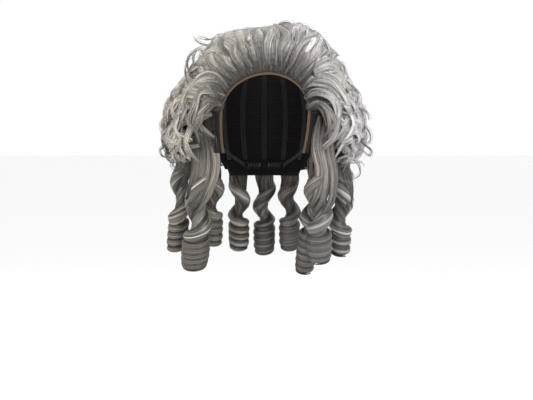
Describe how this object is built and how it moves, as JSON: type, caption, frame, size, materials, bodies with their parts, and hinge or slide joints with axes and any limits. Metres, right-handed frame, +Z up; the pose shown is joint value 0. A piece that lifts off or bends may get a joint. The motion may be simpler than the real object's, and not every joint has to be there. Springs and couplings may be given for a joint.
{
  "type": "costume wig",
  "caption": "Long costume wig in a baroque style: swept-up front, full curled sides and hanging ringlets on a wefted net cap with a lace front, ear tabs and nape adjusters.",
  "frame": {"origin": "centre of the head at its widest level, inside the cap, where the cap sits on the head", "axes": "+Z up, the face opening looks along -Y, +X to the right of a person facing the wig"},
  "size_m": [0.2445, 0.2228, 0.304],
  "materials": {
    "hair_pompadour": "swept-up silver grey hair with darker roots, soft satin",
    "hair_crown": "silver grey hair, soft satin",
    "hair_side_warm": "curled taupe grey hair, soft satin",
    "hair_side_cool": "curled grey hair with a mauve cast, soft satin",
    "hair_back": "wavy silver grey hair, soft satin",
    "ringlet_warm": "tightly curled taupe grey hair, satin",
    "ringlet_cool": "tightly curled mauve grey hair, satin",
    "stretch_net": "black stretch net, matt",
    "side_net": "black close net, matt",
    "rear_mesh": "black open mesh, matt",
    "lace": "tan lace with dark brown knotted roots, matt",
    "velvet_binding": "black soft binding tape, matt",
    "elastic": "black ribbed elastic",
    "weft": "stitched hair weft in grey thread",
    "tab_cloth": "black tab cloth with a stitched edge",
    "stay_steel": "thin spring steel strip",
    "ladder_tape": "black tape with loops",
    "hook_steel": "bright stamped spring steel"
  },
  "bodies": {
    "cap": {"crown_net": "stretch_net", "front_net": "stretch_net", "side_panel_left": "side_net", "side_panel_right": "side_net", "rear_panel": "rear_mesh", "front_lace": "lace", "front_band": "velvet_binding", "ear_binding_left": "velvet_binding", "ear_binding_right": "velvet_binding", "nape_band": "velvet_binding", "elastic_ribbons": "elastic", "weft_row_1": "weft", "weft_row_2": "weft", "weft_row_3": "weft", "weft_row_4": "weft", "weft_row_5": "weft", "weft_row_6": "weft", "hook_ladder_left": "ladder_tape", "hook_ladder_right": "ladder_tape", "adjust_strap_left": "elastic", "adjust_strap_right": "elastic", "hair_pompadour": "hair_pompadour", "hair_crown": "hair_crown", "hair_side_left": "hair_side_warm", "hair_side_right": "hair_side_cool", "hair_back": "hair_back"},
    "ringlet_left_front": {"ringlet_left_front": "ringlet_warm"},
    "ringlet_left_side": {"ringlet_left_side": "ringlet_warm"},
    "ringlet_left_rear": {"ringlet_left_rear": "ringlet_warm"},
    "ringlet_right_front": {"ringlet_right_front": "ringlet_cool"},
    "ringlet_right_inner": {"ringlet_right_inner": "ringlet_cool"},
    "ringlet_right_side": {"ringlet_right_side": "ringlet_cool"},
    "ringlet_right_rear": {"ringlet_right_rear": "ringlet_cool"},
    "ringlet_back_left": {"ringlet_back_left": "ringlet_warm"},
    "ringlet_back_middle": {"ringlet_back_middle": "ringlet_warm"},
    "ringlet_back_right": {"ringlet_back_right": "ringlet_cool"},
    "ear_tab_left": {"ear_tab_left": "tab_cloth", "ear_stay_left": "stay_steel"},
    "ear_tab_right": {"ear_tab_right": "tab_cloth", "ear_stay_right": "stay_steel"},
    "strap_hook_left": {"strap_hook_left": "hook_steel"},
    "strap_hook_right": {"strap_hook_right": "hook_steel"}
  },
  "joints": [
    {"name": "ringlet_left_front_swing", "type": "hinge", "parent": "cap", "child": "ringlet_left_front", "pos_m": [-0.075, -0.022, -0.06], "axis": [0, 1, 0], "range_deg": [-5, 25]},
    {"name": "ringlet_left_side_swing", "type": "hinge", "parent": "cap", "child": "ringlet_left_side", "pos_m": [-0.099, 0.014, -0.058], "axis": [0, 1, 0], "range_deg": [-5, 25]},
    {"name": "ringlet_left_rear_swing", "type": "hinge", "parent": "cap", "child": "ringlet_left_rear", "pos_m": [-0.066, 0.044, -0.062], "axis": [0, 1, 0], "range_deg": [-5, 25]},
    {"name": "ringlet_right_front_swing", "type": "hinge", "parent": "cap", "child": "ringlet_right_front", "pos_m": [0.067, -0.047, -0.06], "axis": [0, -1, 0], "range_deg": [-5, 25]},
    {"name": "ringlet_right_inner_swing", "type": "hinge", "parent": "cap", "child": "ringlet_right_inner", "pos_m": [0.066, -0.014, -0.062], "axis": [0, -1, 0], "range_deg": [-5, 25]},
    {"name": "ringlet_right_side_swing", "type": "hinge", "parent": "cap", "child": "ringlet_right_side", "pos_m": [0.096, 0.016, -0.06], "axis": [0, -1, 0], "range_deg": [-5, 25]},
    {"name": "ringlet_right_rear_swing", "type": "hinge", "parent": "cap", "child": "ringlet_right_rear", "pos_m": [0.066, 0.046, -0.062], "axis": [0, -1, 0], "range_deg": [-5, 25]},
    {"name": "ringlet_back_left_swing", "type": "hinge", "parent": "cap", "child": "ringlet_back_left", "pos_m": [-0.033, 0.077, -0.078], "axis": [1, 0, 0], "range_deg": [-5, 25]},
    {"name": "ringlet_back_middle_swing", "type": "hinge", "parent": "cap", "child": "ringlet_back_middle", "pos_m": [0, 0.086, -0.078], "axis": [1, 0, 0], "range_deg": [-5, 25]},
    {"name": "ringlet_back_right_swing", "type": "hinge", "parent": "cap", "child": "ringlet_back_right", "pos_m": [0.033, 0.077, -0.078], "axis": [1, 0, 0], "range_deg": [-5, 25]},
    {"name": "ear_tab_left_flex", "type": "hinge", "parent": "cap", "child": "ear_tab_left", "pos_m": [-0.0642, -0.0502, -0.0088], "axis": [0.4328, -0.9015, 0], "range_deg": [0, 12], "stiffness_Nm_per_rad": 0.01},
    {"name": "ear_tab_right_flex", "type": "hinge", "parent": "cap", "child": "ear_tab_right", "pos_m": [0.0642, -0.0502, -0.0088], "axis": [0.4328, 0.9015, 0], "range_deg": [0, 12], "stiffness_Nm_per_rad": 0.01},
    {"name": "strap_left_adjust", "type": "hinge", "parent": "cap", "child": "strap_hook_left", "pos_m": [0, 0.03, -0.066], "axis": [0, 0, 1], "range_deg": [-4, 8], "deforming": ["adjust_strap_left"]},
    {"name": "strap_right_adjust", "type": "hinge", "parent": "cap", "child": "strap_hook_right", "pos_m": [0, 0.03, -0.066], "axis": [0, 0, -1], "range_deg": [-4, 8], "deforming": ["adjust_strap_right"]}
  ]
}
